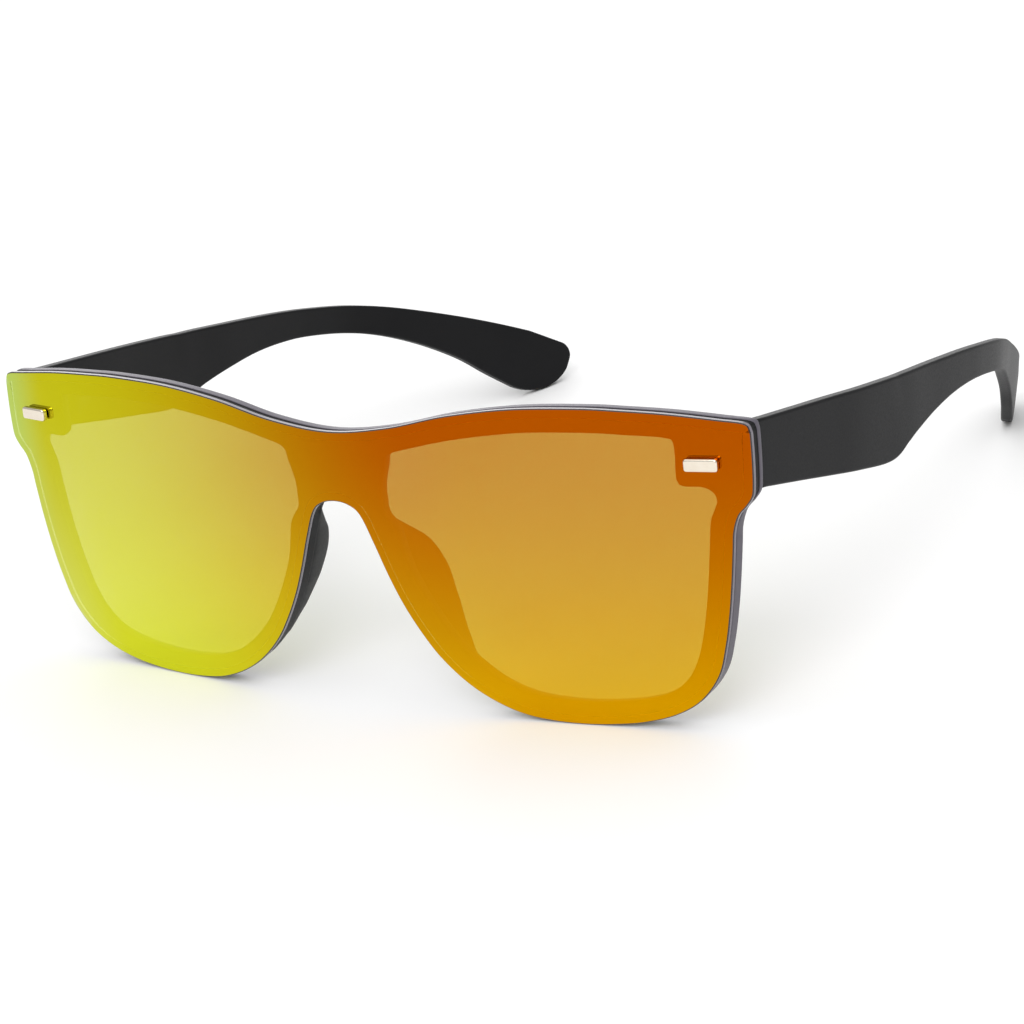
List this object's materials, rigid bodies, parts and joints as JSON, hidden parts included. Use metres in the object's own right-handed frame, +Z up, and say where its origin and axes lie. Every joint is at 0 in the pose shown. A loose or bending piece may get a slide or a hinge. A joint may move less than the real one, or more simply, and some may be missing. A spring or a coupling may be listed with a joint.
{
  "type": "shield sunglasses",
  "caption": "Shield sunglasses with a mirrored wrap lens, horned outline, oblong lens rivets and wide folding drop-tip temples.",
  "frame": {"origin": "on the table under the middle of the open sunglasses", "axes": "+X to the wearer's left, +Y backwards along the temples, +Z up, with the sunglasses open and standing on the lower rims and temple tips"},
  "size_m": [0.1434, 0.144, 0.0508],
  "materials": {
    "lens": "polycarbonate with a green-yellow to orange mirror coating",
    "front": "moulded nylon, fine matte black",
    "temple": "moulded nylon, fine matte black",
    "rivet": "satin champagne plated metal",
    "hinge": "black plated steel, satin",
    "screw": "turned steel, black plated"
  },
  "bodies": {
    "front": {"front_frame": "front", "shield_lens": "lens", "lens_rivet_left": "rivet", "lens_rivet_right": "rivet", "front_hinge_left": "hinge", "front_hinge_right": "hinge", "hinge_screw_left": "screw", "hinge_screw_right": "screw", "front_leaf_screw_left_inner": "screw", "front_leaf_screw_left_outer": "screw", "front_leaf_screw_right_inner": "screw", "front_leaf_screw_right_outer": "screw"},
    "left_temple_arm": {"temple_left": "temple", "temple_hinge_left": "hinge", "temple_leaf_screw_left_front": "screw", "temple_leaf_screw_left_rear": "screw"},
    "right_temple_arm": {"temple_right": "temple", "temple_hinge_right": "hinge", "temple_leaf_screw_right_front": "screw", "temple_leaf_screw_right_rear": "screw"}
  },
  "joints": [
    {"name": "left_temple_fold", "type": "hinge", "parent": "front", "child": "left_temple_arm", "pos_m": [0.06603, -0.05727, 0.04196], "axis": [0, 0.2136, 0.9769], "range_deg": [0, 82.4]},
    {"name": "right_temple_fold", "type": "hinge", "parent": "front", "child": "right_temple_arm", "pos_m": [-0.06603, -0.05727, 0.04196], "axis": [0, -0.2136, -0.9769], "range_deg": [0, 65]}
  ]
}
